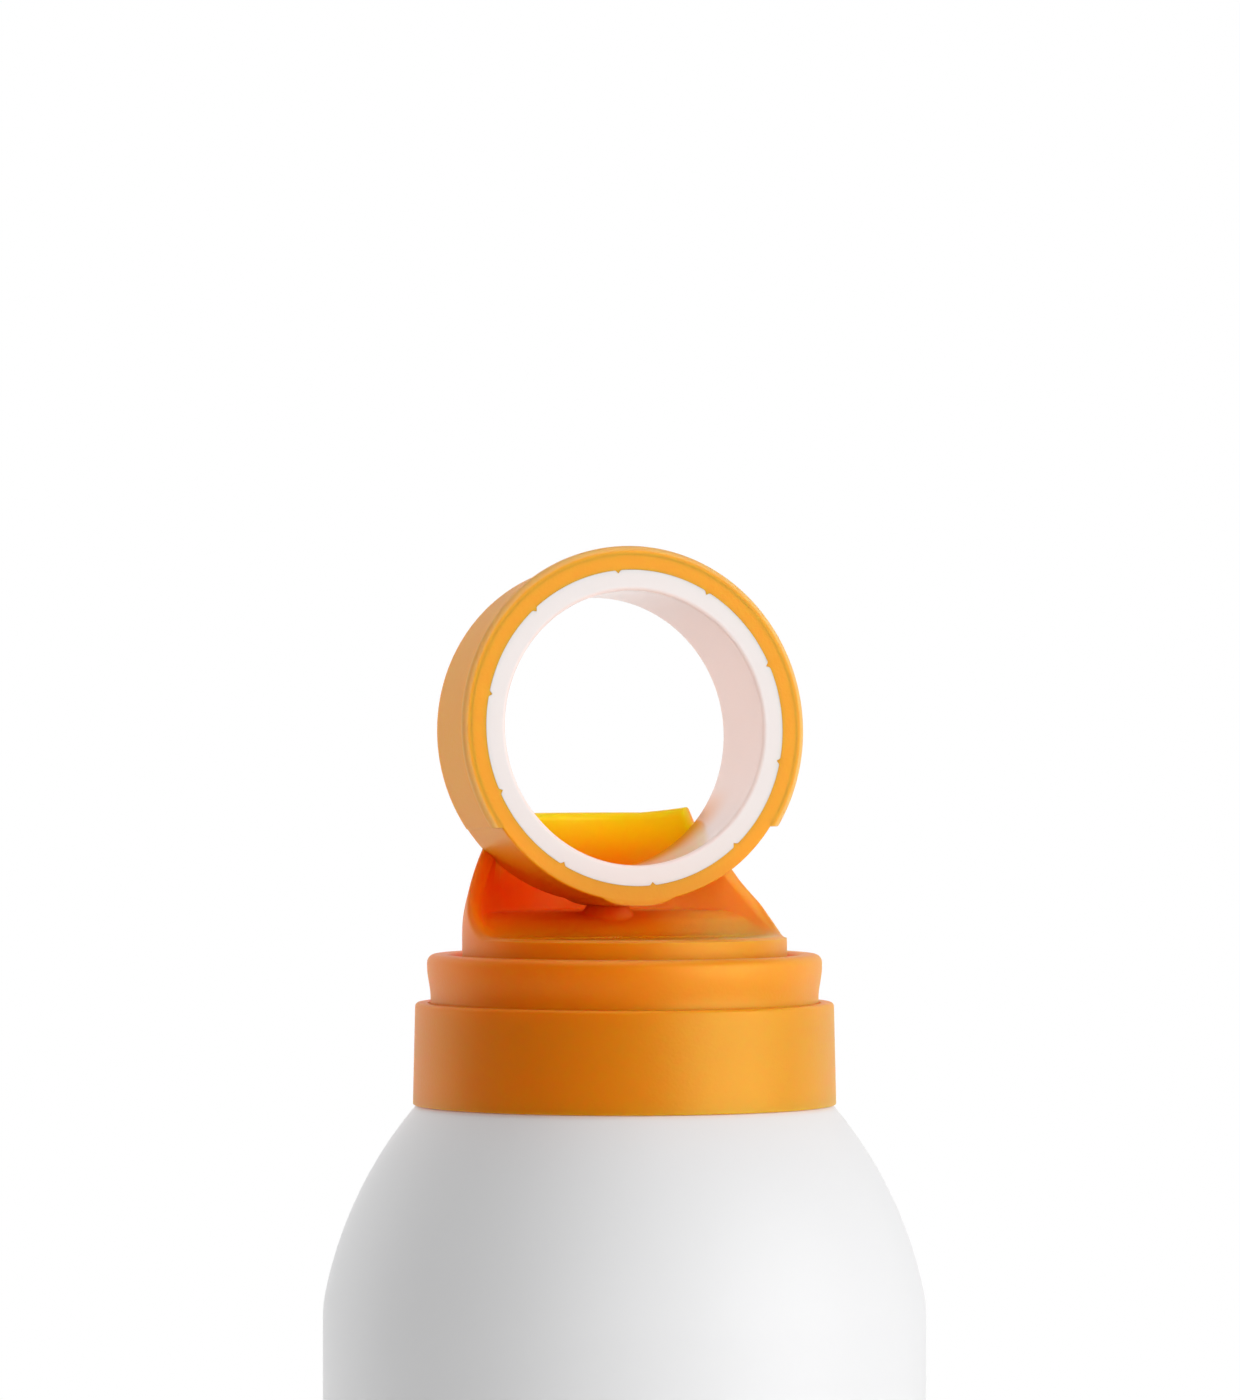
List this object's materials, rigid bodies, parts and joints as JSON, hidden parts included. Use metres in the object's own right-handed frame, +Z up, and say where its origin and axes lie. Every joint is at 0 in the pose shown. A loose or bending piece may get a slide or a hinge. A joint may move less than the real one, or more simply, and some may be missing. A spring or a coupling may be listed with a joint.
{
  "type": "aerosol can with ring spray head",
  "caption": "Slim white aerosol can for sunscreen with an orange press-down head that carries an upright ring-shaped spray nozzle with a white insert.",
  "frame": {"origin": "centre of the can's stand ring, on the surface it stands on", "axes": "+Z up the can's axis; the spray ring's front looks along -Y; +X is to the right of a person who faces that front"},
  "size_m": [0.053, 0.053, 0.192],
  "materials": {
    "white_lacquer": "satin",
    "cup_metal": "satin",
    "gasket_rubber": "matte",
    "white_plastic": "matte",
    "spring_steel": "bright",
    "clear_tube": "matte",
    "orange_plastic": "satin, slightly translucent",
    "insert_plastic": "satin"
  },
  "bodies": {
    "can": {"can_body": "white_lacquer", "valve_cup": "cup_metal", "cup_gasket": "gasket_rubber", "valve_housing": "white_plastic", "stem_gasket": "gasket_rubber", "valve_spring": "spring_steel", "dip_tube": "clear_tube", "collar_band": "orange_plastic", "guide_ring": "orange_plastic"},
    "stem": {"valve_stem": "white_plastic"},
    "head": {"actuator_hood": "orange_plastic", "ring_shell": "orange_plastic", "ring_insert": "insert_plastic", "front_band": "orange_plastic"}
  },
  "joints": [
    {"name": "stem_press", "type": "slide", "parent": "can", "child": "stem", "axis": [0, 0, -1], "range_m": [0, 0.0015], "stiffness_N_per_m": 3500, "springref_m": -0.004, "deforming": ["valve_spring"]},
    {"name": "head_swivel", "type": "hinge", "parent": "stem", "child": "head", "pos_m": [0, 0, 0.1564], "axis": [0, 0, 1], "continuous": true}
  ]
}
